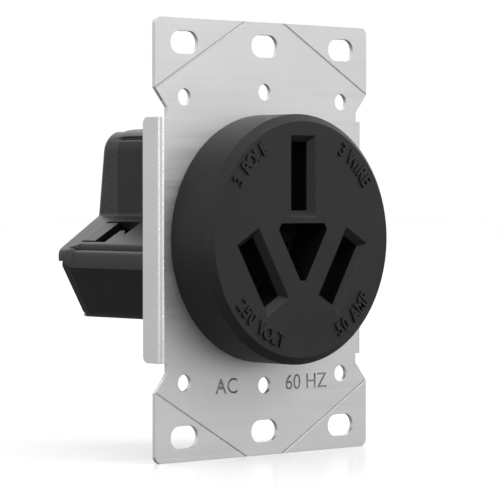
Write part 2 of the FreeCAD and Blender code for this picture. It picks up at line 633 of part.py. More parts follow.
def clamp_screw():
    """A headless clamping screw with a hexagon socket, as shipped: wound back clear of the wire space."""
    tip_y = LUG_CEILING_Y - CLAMP_TIP_PROUD
    end_y = tip_y + CLAMP_SCREW_LENGTH
    body = rod(CLAMP_SCREW_R, tip_y, end_y, 0, CLAMP_SCREW_S)
    rims = [e for e in body.Edges if e.Curve.TypeId == "Part::GeomCircle"]
    body = body.makeChamfer(SCREW_CHAMFER, rims)
    corner_r = HEX_SOCKET / sqrt(3)
    hexagon = [(corner_r * cos(radians(a)), CLAMP_SCREW_S + corner_r * sin(radians(a)))
               for a in range(0, 360, 60)]
    return body.cut(prism(hexagon, end_y - HEX_DEPTH, end_y + EPS))


# Fasteners that hold the mouldings together


def cross_screw(head_r, head, shank_r, length, seat_y):
    """A pan-head screw with a cross recess, its head in front of the seat."""
    cap = rod(head_r, seat_y - head, seat_y)
    front = [e for e in cap.Edges if e.CenterOfMass.y < seat_y - head + 1e-6 and e.Length > head_r]
    cap = cap.makeFillet(head * HEAD_ROUNDING, front)
    screw = fused([cap, rod(shank_r, seat_y - EPS, seat_y + length)])
    half, slim = CROSS_LENGTH / 2, CROSS_WIDTH / 2
    cuts = [box(-half, half, seat_y - head - EPS, seat_y - head + CROSS_DEPTH, -slim, slim),
            box(-slim, slim, seat_y - head - EPS, seat_y - head + CROSS_DEPTH, -half, half)]
    return screw.cut(cuts)


def centre_screw():
    screw = cross_screw(CENTRE_HEAD_R, CENTRE_HEAD, CENTRE_SCREW_R, CENTRE_SCREW_LENGTH,
                        -CARRIER_FRONT - WELL_FLOOR)
    screw.translate(vec(0, 0, WELL_CENTRE_Z))
    return screw


def threaded_insert():
    y0 = SHEET + INSERT_SINK
    sleeve = rod(INSERT_R, y0, y0 + INSERT_LENGTH, 0, WELL_CENTRE_Z)
    return sleeve.cut(rod(CENTRE_SCREW_R + THREAD_GAP, y0 - EPS, y0 + INSERT_LENGTH + EPS, 0, WELL_CENTRE_Z))


def assembly_screw(angle):
    screw = cross_screw(SMALL_HEAD_R, SMALL_HEAD, SMALL_SCREW_R, SMALL_SCREW_LENGTH, -CARRIER_FRONT)
    screw.translate(vec(0, 0, SMALL_SCREW_RING_R))
    return turned(screw, angle)


# Every piece, under the name of its node

nodes = {"mounting_strap": mounting_strap(), "face_cover": face_cover(), "contact_carrier": contact_carrier(),
         "rear_housing": rear_housing(), "centre_screw": centre_screw(), "threaded_insert": threaded_insert()}
for screw_number, screw_angle in enumerate(MIDDLE_ANGLES, 1):
    nodes["assembly_screw_" + str(screw_number)] = assembly_screw(screw_angle)
for pole, pole_angle in POLE_ANGLES.items():
    nodes["contact_jaw_" + pole] = at_pole(jaw(), pole)
    nodes["backup_spring_" + pole] = at_pole(spring_clip(), pole)
    for rivet_place in RIVET_PLACES:
        nodes["jaw_rivet_" + pole + "_" + rivet_place] = at_pole(jaw_rivet(rivet_place), pole)
    nodes["terminal_bar_" + pole] = terminal_bar(pole)
    nodes["terminal_lug_" + pole] = turned(terminal_lug(), pole_angle)
    nodes["clamp_screw_" + pole] = turned(clamp_screw(), pole_angle)

os.makedirs("parts", exist_ok=True)
for node, shape in nodes.items():
    if not shape.isValid():
        print("not valid:", node)
    print(node, len(shape.Solids), "solid(s), volume", round(shape.Volume, 1))
    shape.exportStep("parts/" + node + ".step")
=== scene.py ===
import math

import bmesh
import bpy
from mathutils import Matrix, Vector


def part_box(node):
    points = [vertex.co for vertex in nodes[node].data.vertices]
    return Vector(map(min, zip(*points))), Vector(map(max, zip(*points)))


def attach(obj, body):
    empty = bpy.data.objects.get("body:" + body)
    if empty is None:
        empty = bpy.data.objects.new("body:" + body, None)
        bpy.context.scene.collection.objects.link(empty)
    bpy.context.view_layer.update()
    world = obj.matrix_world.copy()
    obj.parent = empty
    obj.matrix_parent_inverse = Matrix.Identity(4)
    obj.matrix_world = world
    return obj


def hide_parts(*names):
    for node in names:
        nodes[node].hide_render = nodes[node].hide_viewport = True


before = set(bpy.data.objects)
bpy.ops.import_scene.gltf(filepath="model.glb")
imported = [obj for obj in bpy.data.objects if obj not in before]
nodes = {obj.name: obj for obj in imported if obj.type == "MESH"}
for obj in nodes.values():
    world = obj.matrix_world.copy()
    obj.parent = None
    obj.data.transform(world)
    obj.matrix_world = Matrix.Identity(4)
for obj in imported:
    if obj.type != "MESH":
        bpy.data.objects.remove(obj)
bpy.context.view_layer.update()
scene = bpy.context.scene
MM = 0.001


# Mounting strap
# One sheet of zinc-plated steel, 1 mm thick, punched, scored with break-off lines and folded back
# along both sides. The box screws pull it against the wall, and it carries everything else.

STEEL_EDGE = 0.07 * MM
SHARP_ANGLE = math.radians(35)
FLAT_ANGLE = math.radians(0.4)
SAME_CORNER = 0.0005 * MM

ZINC_LIGHT = (0.785, 0.785, 0.78, 1)
ZINC_DARK = (0.735, 0.735, 0.73, 1)
ZINC_ROUGHNESS = (0.5, 0.58)
ROLLING_GRAIN = (25, 25, 1100)
ROLLING_DEPTH = 0.0015 * MM
CLOUD_GRAIN = (60, 60, 90)
GRAIN_SHADE = 0.82
GRAIN_SHEEN = (0.85, 1.15)

# The bends rub on the folding tool, so they are smoother from FOLD_X outward, as far back as FOLD_Y.
FOLD_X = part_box("mounting_strap")[1].x - 2.5 * MM
FOLD_Y = (0.75 * MM, 0.95 * MM)
FOLD_BLEND = 0.1 * MM
FOLD_HALF_LENGTH = 30.0 * MM
FOLD_POLISH = 0.25

# The stamped letters' cut faces are painted a darker grey: painted shade in these shallow recesses.
STAMP_SHADE_GREY = (0.4, 0.4, 0.4, 1)
STAMP_DEPTH = 0.16 * MM
STAMP_HEIGHT = 3.3 * MM
STAMP_Z = -31.6 * MM
STAMP_WORDS = {"AC": -11.0 * MM, "60 HZ": 12.4 * MM}
CAPITAL_SHARE = 0.69
LETTER_STEPS = 4

# Each score runs from its foot, on an ear's side, to its head, on the ear's end: X and Z.
# The score grooves' faces are painted a darker grey: painted shade in the grooves.
SCORE_SHADE_GREY = (0.62, 0.62, 0.615, 1)
SCORE_FOOT = (31.1 * MM, 32.0 * MM)
SCORE_HEAD = (5.6 * MM, 46.85 * MM)
SCORE_DEPTH = 0.14 * MM
SCORE_REACH = 0.45 * MM
SCORE_FRONT_HALF = 0.5 * MM
SCORE_BOTTOM_FROM = 0.1 * MM
AT_SHEET_EDGE = 0.01 * MM


def wired(tree, kind, links=(), **settings):
    """One shader node with its settings, and its inputs linked or set by name."""
    made = tree.nodes.new("ShaderNode" + kind)
    for name, value in settings.items():
        setattr(made, name, value)
    for name, value in links:
        if isinstance(value, bpy.types.NodeSocket):
            tree.links.new(value, made.inputs[name])
        else:
            made.inputs[name].default_value = value
    return made


def calculated(tree, operation, *values):
    """The result of one sum on values or other nodes' results."""
    return wired(tree, "Math", list(enumerate(values)), operation=operation).outputs[0]


def axis_places(tree):
    """Where a point lies along the part's own X, Y and Z."""
    place = wired(tree, "TexCoord")
    split = wired(tree, "SeparateXYZ", [("Vector", place.outputs["Object"])])
    return split.outputs["X"], split.outputs["Y"], split.outputs["Z"]


def grained(tree, stretch, detail=3.0, rough=0.5):
    """Noise in the part's own coordinates, with so many features to the metre along X, Y and Z."""
    place = wired(tree, "TexCoord")
    mapped = wired(tree, "Mapping", [("Vector", place.outputs["Object"]), ("Scale", stretch)])
    noise = wired(tree, "TexNoise", [("Vector", mapped.outputs["Vector"]), ("Scale", 1.0),
                                     ("Detail", detail), ("Roughness", rough)])
    return noise.outputs["Fac"]


def ranged(tree, value, low, high, start=0.35, end=0.65):
    """A value spread from start..end onto low..high."""
    spread = wired(tree, "MapRange", [("Value", value), ("From Min", start), ("From Max", end),
                                      ("To Min", low), ("To Max", high)])
    return spread.outputs["Result"]


def two_tone(tree, value, first, second):
    """The first colour at 0 and the second at 1. Each is a colour or another node's result."""
    mix = wired(tree, "Mix", [("Factor", value), (6, first), (7, second)], data_type="RGBA")
    return mix.outputs[2]


def bumped(tree, shader, height, depth):
    """Fine relief of a given depth in metres."""
    bump = wired(tree, "Bump", [("Height", height), ("Distance", depth), ("Strength", 1.0)])
    tree.links.new(bump.outputs["Normal"], shader.inputs["Normal"])


def finish_of(name, roughness, metallic=0.0, specular=0.5, colour=(0.5, 0.5, 0.5, 1)):
    """A new material and its shader, with the values that are the same all over."""
    material = bpy.data.materials.new(name)
    material.use_nodes = True
    shader = material.node_tree.nodes["Principled BSDF"]
    shader.inputs["Base Color"].default_value = colour
    shader.inputs["Roughness"].default_value = roughness
    shader.inputs["Metallic"].default_value = metallic
    shader.inputs["Specular IOR Level"].default_value = specular
    return material, shader


def zinc_plate():
    """Fine rolling lines all over, and a smoother, burnished skin along the two folds."""
    material, shader = finish_of("zinc_plate", ZINC_ROUGHNESS[0], metallic=1.0)
    tree = material.node_tree
    rolling = grained(tree, ROLLING_GRAIN)
    mottle = calculated(tree, "ADD", rolling, grained(tree, CLOUD_GRAIN))
    tone = ranged(tree, mottle, 0, 1, start=0.7, end=1.3)
    tree.links.new(two_tone(tree, tone, ZINC_DARK, ZINC_LIGHT), shader.inputs["Base Color"])
    x, y, z = axis_places(tree)
    beyond_flat = ranged(tree, calculated(tree, "ABSOLUTE", x), 0, 1, FOLD_X, FOLD_X + FOLD_BLEND)
    before_flange = ranged(tree, y, 1, 0, *FOLD_Y)
    between_ears = ranged(tree, calculated(tree, "ABSOLUTE", z), 1, 0,
                          FOLD_HALF_LENGTH - FOLD_BLEND, FOLD_HALF_LENGTH)
    corner = calculated(tree, "MULTIPLY", beyond_flat, before_flange)
    burnish = calculated(tree, "MULTIPLY", corner, between_ears)
    dull = ranged(tree, rolling, *ZINC_ROUGHNESS)
    eased = calculated(tree, "MULTIPLY_ADD", burnish, -FOLD_POLISH, dull)
    tree.links.new(eased, shader.inputs["Roughness"])
    bumped(tree, shader, rolling, ROLLING_DEPTH)
    return material


def plain(name, colour, roughness, metallic, grain=900, depth=0.004, specular=0.5):
    """A small part's finish: one colour with a darker grain, so many millimetres deep."""
    material, shader = finish_of(name, roughness, metallic, specular)
    tree = material.node_tree
    speck = grained(tree, (grain, grain, grain))
    dark = tuple(c * GRAIN_SHADE for c in colour[:3]) + (1,)
    tree.links.new(two_tone(tree, ranged(tree, speck, 0, 1), dark, colour), shader.inputs["Base Color"])
    low, high = (roughness * share for share in GRAIN_SHEEN)
    tree.links.new(ranged(tree, speck, low, high), shader.inputs["Roughness"])
    bumped(tree, shader, speck, depth * MM)
    return material


def mesh_of(surface, name):
    """A new mesh from a surface under work, which ends there."""
    mesh = bpy.data.meshes.new(name)
    surface.to_mesh(mesh)
    surface.free()
    return mesh


def welded_copy(node):
    """A solid's own surface with its corners joined."""
    surface = bmesh.new()
    surface.from_mesh(nodes[node].data)
    bmesh.ops.remove_doubles(surface, verts=surface.verts, dist=SAME_CORNER)
    return mesh_of(surface, node + "_surface")


def flats_merged(mesh):
    """The same mesh with its flat areas free of inner edges."""
    surface = bmesh.new()
    surface.from_mesh(mesh)
    bmesh.ops.dissolve_limit(surface, angle_limit=FLAT_ANGLE, verts=surface.verts, edges=surface.edges)
    surface.to_mesh(mesh)
    surface.free()
    return mesh


def clean_copy(node):
    """A solid's own surface, ready to have its edges rounded."""
    return flats_merged(welded_copy(node))


def settle(piece):
    """Applies a piece's modifiers to its mesh."""
    bpy.context.view_layer.update()
    seen = piece.evaluated_get(bpy.context.evaluated_depsgraph_get())
    mesh = bpy.data.meshes.new_from_object(seen)
    piece.modifiers.clear()
    piece.data = mesh


def placed(name, mesh, materials, stands_for=()):
    """A finished piece: named, coated, riding on the socket, and standing for its solids."""
    piece = bpy.data.objects.new(name, mesh)
    scene.collection.objects.link(piece)
    piece.data.materials.clear()
    for material in materials:
        piece.data.materials.append(material)
    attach(piece, "root")
    if stands_for:
        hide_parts(*stands_for)
    return piece


def smooth(piece):
    """Shades rounds smooth and big faces flat, and keeps corners crisp where no round was made."""
    for face in piece.data.polygons:
        face.use_smooth = True
    piece.data.set_sharp_from_angle(angle=SHARP_ANGLE)
    weigh = piece.modifiers.new("shading", "WEIGHTED_NORMAL")
    weigh.keep_sharp = True
    settle(piece)


def broken_edges(piece, width, steps=2, left_crisp=None):
    """Every sharp edge gets a small round, unless left_crisp says no, and flat faces stay flat."""
    surface = bmesh.new()
    surface.from_mesh(piece.data)
    weights = surface.edges.layers.float.new("bevel_weight_edge")
    for edge in surface.edges:
        if edge.calc_face_angle(0) > SHARP_ANGLE and not (left_crisp and left_crisp(edge)):
            edge[weights] = 1
    surface.to_mesh(piece.data)
    surface.free()
    bevel = piece.modifiers.new("edges", "BEVEL")
    bevel.width = width
    bevel.segments = steps
    bevel.limit_method = "WEIGHT"
    bevel.use_clamp_overlap = False
    settle(piece)
    smooth(piece)


def letters(text, height, depth, weight=0.0, edge=0.0):
    """One line of plain letters in the XZ plane, facing -Y, centred on the origin."""
    font = bpy.data.curves.new("letters", "FONT")
    font.body = text
    font.size = height / CAPITAL_SHARE
    font.align_x = "CENTER"
    font.align_y = "CENTER"
    font.extrude = depth / 2 - edge
    font.bevel_depth = edge
    font.offset = weight
    font.resolution_u = LETTER_STEPS
    written = bpy.data.objects.new("letters", font)
    scene.collection.objects.link(written)
    bpy.context.view_layer.update()
    mesh = bpy.data.meshes.new_from_object(written.evaluated_get(bpy.context.evaluated_depsgraph_get()))
    mesh.transform(Matrix.Rotation(math.radians(90), 4, "X"))
    bpy.data.objects.remove(written)
    return mesh


def cut_out(piece, cutter_mesh, cut_material=None):
    """Takes a cutter's volume out of a piece."""
    cutter = bpy.data.objects.new("cutter", cutter_mesh)
    scene.collection.objects.link(cutter)
    if cut_material:
        cutter.data.materials.clear()
        cutter.data.materials.append(cut_material)
    boolean = piece.modifiers.new("cut", "BOOLEAN")
    boolean.operation = "DIFFERENCE"
    boolean.object = cutter
    boolean.solver = "EXACT"
    boolean.material_mode = "TRANSFER"
    settle(piece)
    bpy.data.objects.remove(cutter)


def fine_scores(mesh):
    """Closes the V grooves in the ears to the fine lines that a scoring punch leaves."""
    (foot_x, foot_z), (head_x, head_z) = SCORE_FOOT, SCORE_HEAD
    fall = (head_z - foot_z) / (foot_x - head_x)
    spread = math.hypot(1, fall)
    bottoms = set()
    for point in mesh.vertices:
        x, y, z = point.co
        off = (abs(z) - foot_z - fall * (foot_x - abs(x))) / spread
        beyond_ends = not head_x - SCORE_REACH < abs(x) < foot_x + SCORE_REACH
        if abs(off) > SCORE_REACH or beyond_ends or y > SCORE_FRONT_HALF:
            continue
        if y > SCORE_BOTTOM_FROM:
            point.co.y = SCORE_DEPTH
            bottoms.add(point.index)
        elif abs(abs(x) - foot_x) < AT_SHEET_EDGE:
            point.co.z = math.copysign(foot_z + math.copysign(SCORE_DEPTH, off) * spread, z)
        elif abs(abs(z) - head_z) < AT_SHEET_EDGE:
            point.co.x = math.copysign(head_x + math.copysign(SCORE_DEPTH, off) * spread / fall, x)
    groove = [face for face in mesh.polygons if len(bottoms.intersection(face.vertices)) >= 2]
    return mesh, [face.index for face in groove]


strap_finish = zinc_plate()
# The stamps' cut faces take the darker grey of painted shade.
stamp_shade_finish = plain("stamped_steel_painted_shade", STAMP_SHADE_GREY, roughness=0.6, metallic=1.0)
score_shade_finish = plain("scored_steel_painted_shade", SCORE_SHADE_GREY, roughness=0.65, metallic=1.0)
strap_mesh, groove_faces = fine_scores(clean_copy("mounting_strap"))
strap = placed("strap", strap_mesh, [strap_finish, score_shade_finish], ["mounting_strap"])
# The groove faces take the painted shade.
for face_index in groove_faces:
    strap.data.polygons[face_index].material_index = 1
broken_edges(strap, STEEL_EDGE)
for word, word_x in STAMP_WORDS.items():
    stamp = letters(word, STAMP_HEIGHT, 2 * STAMP_DEPTH)
    stamp.transform(Matrix.Translation((word_x, 0, STAMP_Z)))
    cut_out(strap, stamp, stamp_shade_finish)
smooth(strap)


# Face cover
# A round cup of black thermoset with a bevelled front edge, three blade slots with sloped rims and a
# triangular well. A screw deep in the well holds it. Its ratings are raised letters, moulded with it.

FACE_EDGE = 0.08 * MM
FACE_EDGE_STEPS = 3
FACE_BLACK = (0.011, 0.011, 0.011, 1)
FACE_BLACK_LIGHT = (0.0145, 0.0145, 0.0145, 1)
FACE_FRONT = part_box("face_cover")[0].y
FACE_GRAIN = 2600
MOULDING_SHEEN = 0.04
MOULDING_CLOUD = (120, 120, 120)

# Deeper than INSIDE_FROM behind the front, the slots and the well are painted a far darker black: painted
# shade in the openings.
SHADED_INSIDE_BLACK = (0.0035, 0.0035, 0.0035, 1)
SHADED_INSIDE_BLACK_LIGHT = (0.0045, 0.0045, 0.0045, 1)
INSIDE_FROM = 1.9 * MM
INSIDE_R = 25.0 * MM

LETTER_HEIGHT = 2.9 * MM
LETTER_SQUEEZE = 0.84
LETTER_RISE = 0.45 * MM
LETTER_WEIGHT = 0.05 * MM
LETTER_EDGE = 0.05 * MM
LETTER_RING_R = 22.35 * MM
LETTER_PITCH = math.radians(5.3)
SPACE_SHARE = 0.7
NARROW_SHARE = 0.65
WIDE_SHARE = 1.3
# Each rating's words, the degrees from the top to its middle, and whether its tops point outward.
RATINGS = (("3 POLE", -44, True), ("3 WIRE", 43.5, True), ("250 VOLT", 215, False), ("50 AMP", 138, False))


def black_moulding(name, dark, light, roughness, grain, depth, specular):
    """A black thermoset's skin: a pebble, so many millimetres deep, and a faint cloud of lighter black."""
    material, shader = finish_of(name, roughness, specular=specular)
    tree = material.node_tree
    pebble = grained(tree, (grain, grain, grain), detail=2.0, rough=0.6)
    cloud = grained(tree, MOULDING_CLOUD)
    tree.links.new(two_tone(tree, ranged(tree, cloud, 0, 1), dark, light), shader.inputs["Base Color"])
    sheen = ranged(tree, pebble, roughness - MOULDING_SHEEN, roughness + MOULDING_SHEEN)
    tree.links.new(sheen, shader.inputs["Roughness"])
    bumped(tree, shader, pebble, depth * MM)
    return material


def width_share(letter):
    """How much of a letter's pitch it takes."""
    if letter == " ":
        return SPACE_SHARE
    if letter in "I1":
        return NARROW_SHARE
    return WIDE_SHARE if letter in "MW" else 1.0


def ring_letters(text, middle_deg, tops_out):
    """Letters on the face's ring, read clockwise with their tops outward, or the other way round."""
    widths = [width_share(letter) for letter in text]
    along = -sum(widths) / 2
    ring = []
    for letter, width in zip(text, widths):
        turn = math.radians(middle_deg) + (along + width / 2) * LETTER_PITCH * (1 if tops_out else -1)
        along += width
        if letter == " ":
            continue
        mesh = letters(letter, LETTER_HEIGHT, 2 * LETTER_RISE, weight=LETTER_WEIGHT, edge=LETTER_EDGE)
        mesh.transform(Matrix.Scale(LETTER_SQUEEZE, 4, (1, 0, 0)))
        lift = Matrix.Translation((0, FACE_FRONT, LETTER_RING_R))
        spin = Matrix.Rotation(turn, 4, "Y")
        over = Matrix.Identity(4) if tops_out else Matrix.Rotation(math.pi, 4, "Y")
        mesh.transform(spin @ lift @ over)
        ring.append(mesh)
    return ring


def joined(meshes, name):
    """One mesh from several."""
    together = bmesh.new()
    for mesh in meshes:
        together.from_mesh(mesh)
    return mesh_of(together, name)


face_finish = black_moulding("face_moulding", FACE_BLACK, FACE_BLACK_LIGHT,
                             roughness=0.45, grain=FACE_GRAIN, depth=0.006, specular=0.36)
shaded_inside_finish = black_moulding("face_inside_painted_shade", SHADED_INSIDE_BLACK, SHADED_INSIDE_BLACK_LIGHT,
                               roughness=0.7, grain=FACE_GRAIN, depth=0.01, specular=0.12)
side_finish = black_moulding("face_side", FACE_BLACK, FACE_BLACK_LIGHT,
                             roughness=0.48, grain=FACE_GRAIN, depth=0.008, specular=0.28)
face = placed("face", clean_copy("face_cover"), [face_finish, shaded_inside_finish, side_finish],
              ["face_cover"])
broken_edges(face, FACE_EDGE, FACE_EDGE_STEPS)
# Faces deep in the slots and the well take the painted shade; further out than INSIDE_R they are the cup's
# side.
for part_face in face.data.polygons:
    if part_face.center.y > FACE_FRONT + INSIDE_FROM:
        off_axis = math.hypot(part_face.center.x, part_face.center.z)
        part_face.material_index = 1 if off_axis < INSIDE_R else 2
rating_letters = []
for rating, rating_deg, rating_tops_out in RATINGS:
    rating_letters += ring_letters(rating, rating_deg, rating_tops_out)
placed("raised_ratings", joined(rating_letters, "ratings"), [face_finish])


# Contact carrier and what it holds
# The inner moulding locates in the strap's bore. Each of its towers guards one folded brass jaw with a
# backup spring round it, riveted to the brass bar that leads down the arm to its lug.

# Brass in hue, but painted far darker than bare brass: painted shade for the parts deep inside.
SHADED_BRASS = (0.3, 0.2, 0.08, 1)
SPRING_BLUE = (0.16, 0.17, 0.2, 1)
SCREW_ZINC = (0.6, 0.6, 0.57, 1)
# The centre screw, deep in the well, is painted near black and dull: painted shade in the well.
WELL_SCREW_SHADE_BLACK = (0.004, 0.004, 0.004, 1)
INNER_GRAIN = 2200

inner_finish = black_moulding("inner_moulding", FACE_BLACK, FACE_BLACK_LIGHT,
                              roughness=0.5, grain=INNER_GRAIN, depth=0.006, specular=0.4)
shaded_brass_finish = plain("rolled_brass_painted_shade", SHADED_BRASS, roughness=0.5, metallic=1.0)
spring_finish = plain("blued_spring_steel", SPRING_BLUE, roughness=0.35, metallic=1.0)
screw_finish = plain("plated_screw", SCREW_ZINC, roughness=0.34, metallic=1.0)
well_screw_shade_finish = plain("blackened_screw", WELL_SCREW_SHADE_BLACK, roughness=0.7, metallic=0.0, specular=0.1)
INNER_FINISHES = {"contact_carrier": inner_finish, "contact_jaw": shaded_brass_finish,
                  "terminal_bar": shaded_brass_finish, "jaw_rivet": shaded_brass_finish, "threaded_insert": shaded_brass_finish,
                  "backup_spring": spring_finish, "centre_screw": well_screw_shade_finish,
                  "assembly_screw": screw_finish}
for node_name, node in nodes.items():
    for start, finish in INNER_FINISHES.items():
        if node_name.startswith(start):
            node.data.materials.clear()
            node.data.materials.append(finish)


# Rear housing
# A black thermoset moulding, drawn up against the strap by screws: a shallow drum and three hollow arms.
# Behind the mould's parting line the arms have a coarser skin, and their ends are notched for the wires.
# Grooves run up the corners of their front body.

POLES = {"top": 0, "right": 120, "left": 240}
HOUSING_EDGE = 0.12 * MM
# Where the housing's edges stay crisp: its wire sills, the webs beside its screw holes, the top notch.
SILL_Y = (39.3 * MM, 40.3 * MM)
SCREW_WEB_Y = 43.5 * MM
SCREW_WEB_R = 5.6 * MM
NOTCH_HALF = 7.3 * MM
NOTCH_TOP_Z = 23.4 * MM
SCREW_AXES = {pole: sum(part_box("clamp_screw_" + pole), Vector()) / 2 for pole in POLES}

HOUSING_BLACK = (0.0115, 0.0113, 0.011, 1)
HOUSING_BLACK_LIGHT = (0.0155, 0.0153, 0.0148, 1)
REAR_BLACK = (0.013, 0.0128, 0.0125, 1)
REAR_BLACK_LIGHT = (0.036, 0.0355, 0.035, 1)
# The parting line is real; the thin dark line along it is painted shade.
SEAM_SHADE_BLACK = (0.006, 0.006, 0.006, 1)
PEBBLE_GRAIN = (1900, 1900, 1900)
PEBBLE_DEPTH = 0.014 * MM
HOUSING_CLOUD = (150, 150, 150)
# How these change from the front body to the back: roughness, gloss and the pebble's height.
BACK_ROUGHNESS = (0.38, 0.4)
BACK_GLOSS = (0.28, 0.38)
BACK_PEBBLE = (0.3, 4.0)
PARTING_Y = 39.2 * MM
PARTING_BLEND = 0.15 * MM
PARTING_SHADE_WIDTH = 0.11 * MM

# The grooves' reach in Y, and how far they lean out, beside and along the arm in mm, where they fade.
GROOVE_START_Y = 12.8 * MM
GROOVE_FADE_Y = 42.0 * MM
GROOVE_FADE = (1.6, 0.3)
GROOVED_SIDES = (("top", -1), ("top", 1), ("right", -1), ("left", 1))


def housing_moulding():
    """Fine pebbled black, coarser and lighter behind the parting line, along which a thin dark line of
    painted shade runs.
    """
    material, shader = finish_of("housing_moulding", BACK_ROUGHNESS[1], specular=BACK_GLOSS[1])
    tree = material.node_tree
    pebble = grained(tree, PEBBLE_GRAIN, detail=2.5, rough=0.6)
    cloud = grained(tree, HOUSING_CLOUD)
    depth = axis_places(tree)[1]
    back = ranged(tree, depth, 0, 1, PARTING_Y - PARTING_BLEND, PARTING_Y + PARTING_BLEND)
    parting_shade = calculated(tree, "COMPARE", depth, PARTING_Y, PARTING_SHADE_WIDTH)
    front_colour = two_tone(tree, ranged(tree, cloud, 0, 1), HOUSING_BLACK, HOUSING_BLACK_LIGHT)
    rear_colour = two_tone(tree, ranged(tree, pebble, 0, 1), REAR_BLACK, REAR_BLACK_LIGHT)
    colour = two_tone(tree, back, front_colour, rear_colour)
    tree.links.new(two_tone(tree, parting_shade, colour, SEAM_SHADE_BLACK), shader.inputs["Base Color"])
    tree.links.new(ranged(tree, back, *BACK_ROUGHNESS, 0, 1), shader.inputs["Roughness"])
    tree.links.new(ranged(tree, back, *BACK_GLOSS, 0, 1), shader.inputs["Specular IOR Level"])
    skin = calculated(tree, "MULTIPLY", pebble, ranged(tree, back, *BACK_PEBBLE, 0, 1))
    bumped(tree, shader, skin, PEBBLE_DEPTH)
    return material


def too_small_to_round(edge):
    """Whether an edge is on a wire notch's narrow sill, or on the web beside a screw's hole."""
    middle = (edge.verts[0].co + edge.verts[1].co) / 2
    at_sill = any(SILL_Y[0] < end.co.y < SILL_Y[1] for end in edge.verts)
    off_axis = min(math.hypot(middle.x - axis.x, middle.z - axis.z) for axis in SCREW_AXES.values())
    at_web = middle.y > SCREW_WEB_Y and off_axis < SCREW_WEB_R
    at_top_notch = middle.y > SILL_Y[0] and abs(middle.x) < NOTCH_HALF and 0 < middle.z < NOTCH_TOP_Z
    return at_sill or at_web or at_top_notch


def bend(centre_t, centre_s, radius, start_deg, end_deg, steps=8):
    """Points of an arc beside and along an arm, where 0 degrees faces sideways and 90 the arm's end."""
    turns = [math.radians(start_deg + (end_deg - start_deg) * step / steps) for step in range(steps + 1)]
    return [(centre_t + radius * math.cos(a), centre_s + radius * math.sin(a)) for a in turns]


def corner_tool(outline, angle, side):
    """A cutter for one arm's corner, from an outline in millimetres beside and along the arm.

    It runs straight up to the parting line and slopes out of the surface behind it."""
    tool = bmesh.new()
    rings = []
    for y, shift in ((GROOVE_START_Y, (0, 0)), (PARTING_Y, (0, 0)), (GROOVE_FADE_Y, GROOVE_FADE)):
        rings.append([tool.verts.new((side * (beside + shift[0]) * MM, y, (along + shift[1]) * MM))
                      for beside, along in outline])
    tool.faces.new(rings[0])
    tool.faces.new(reversed(rings[-1]))
    for low, high in zip(rings, rings[1:]):
        for here in range(len(outline)):
            after = (here + 1) % len(outline)
            tool.faces.new((low[after], low[here], high[here], high[after]))
    bmesh.ops.recalc_face_normals(tool, faces=tool.faces)
    bmesh.ops.rotate(tool, verts=tool.verts, matrix=Matrix.Rotation(math.radians(angle), 3, "Y"))
    return mesh_of(tool, "corner_tool")


# Each outline goes from the arm's side, round the groove's floor and up a lip to the arm's end, and
# closes outside the arm. The lower arms' ends are also flatter at the corner, on an arc of 8 mm.
TOP_GROOVE = ([(8.8, 20.1)] + bend(7.05, 20.45, 1.5, 35, 85)
              + [(7.0, 21.97), (7.0, 22.6), (7.6, 22.64), (9.5, 22.8), (9.5, 20.1)])
LOWER_GROOVE = ([(8.8, 16.75)] + bend(6.7, 17.0, 1.9, 20, 72) + [(7.2, 18.95), (7.9, 19.22), (8.0, 19.32)]
                + bend(0.779, 16.556, 8, 25.5, 52.9) + [(4.8, 23.54), (4.8, 24.5), (10, 24.5), (10, 16.75)])
housing_finish = housing_moulding()
housing = placed("housing", welded_copy("rear_housing"), [housing_finish],
                 ["rear_housing"])
for pole, side in GROOVED_SIDES:
    cut_out(housing, corner_tool(TOP_GROOVE if pole == "top" else LOWER_GROOVE, POLES[pole], side))
flats_merged(housing.data)
broken_edges(housing, HOUSING_EDGE, left_crisp=too_small_to_round)


# Lugs and clamping screws
# Each box lug is sliced from a tin-plated aluminium section, with a drawn and threaded neck. Its steel
# clamping screw has a hexagon socket and is wound back clear of the wire space, as the socket is sold.

LUG_EDGE = 0.1 * MM
TIN = (0.74, 0.74, 0.73, 1)
CLAMP_STEEL = (0.5, 0.5, 0.5, 1)
THREAD_PITCH = 1.25 * MM
THREAD_DEPTH = 0.42 * MM
THREAD_STEPS = 8
THREAD_SIDES = 48
SCREW_R = 3.45 * MM
SCREW_CHAMFER = 0.5 * MM
HEX_ACROSS = 4.0 * MM
HEX_DEPTH = 3.2 * MM
HEX_PROUD = 1.0 * MM


def threaded_rod(axis, y0, y1):
    """A chamfered rod along Y with a true helical thread."""
    rows = round((y1 - y0) / THREAD_PITCH * THREAD_STEPS)
    rod = bmesh.new()
    rings = []
    for row in range(rows + 1):
        y = y0 + (y1 - y0) * row / rows
        ring = []
        for side in range(THREAD_SIDES):
            share = side / THREAD_SIDES
            wave = abs(2 * ((y / THREAD_PITCH - share) % 1) - 1)
            radius = SCREW_R - THREAD_DEPTH * wave
            radius = min(radius, SCREW_R - SCREW_CHAMFER + min(y - y0, y1 - y))
            turn = 2 * math.pi * share
            point = (axis.x + radius * math.cos(turn), y, axis.z + radius * math.sin(turn))
            ring.append(rod.verts.new(point))
        rings.append(ring)
    for low, high in zip(rings, rings[1:]):
        for side in range(THREAD_SIDES):
            after = (side + 1) % THREAD_SIDES
            rod.faces.new((low[side], high[side], high[after], low[after]))
    rod.faces.new(rings[0])
    rod.faces.new(reversed(rings[-1]))
    bmesh.ops.recalc_face_normals(rod, faces=rod.faces)
    return mesh_of(rod, "threaded_rod")


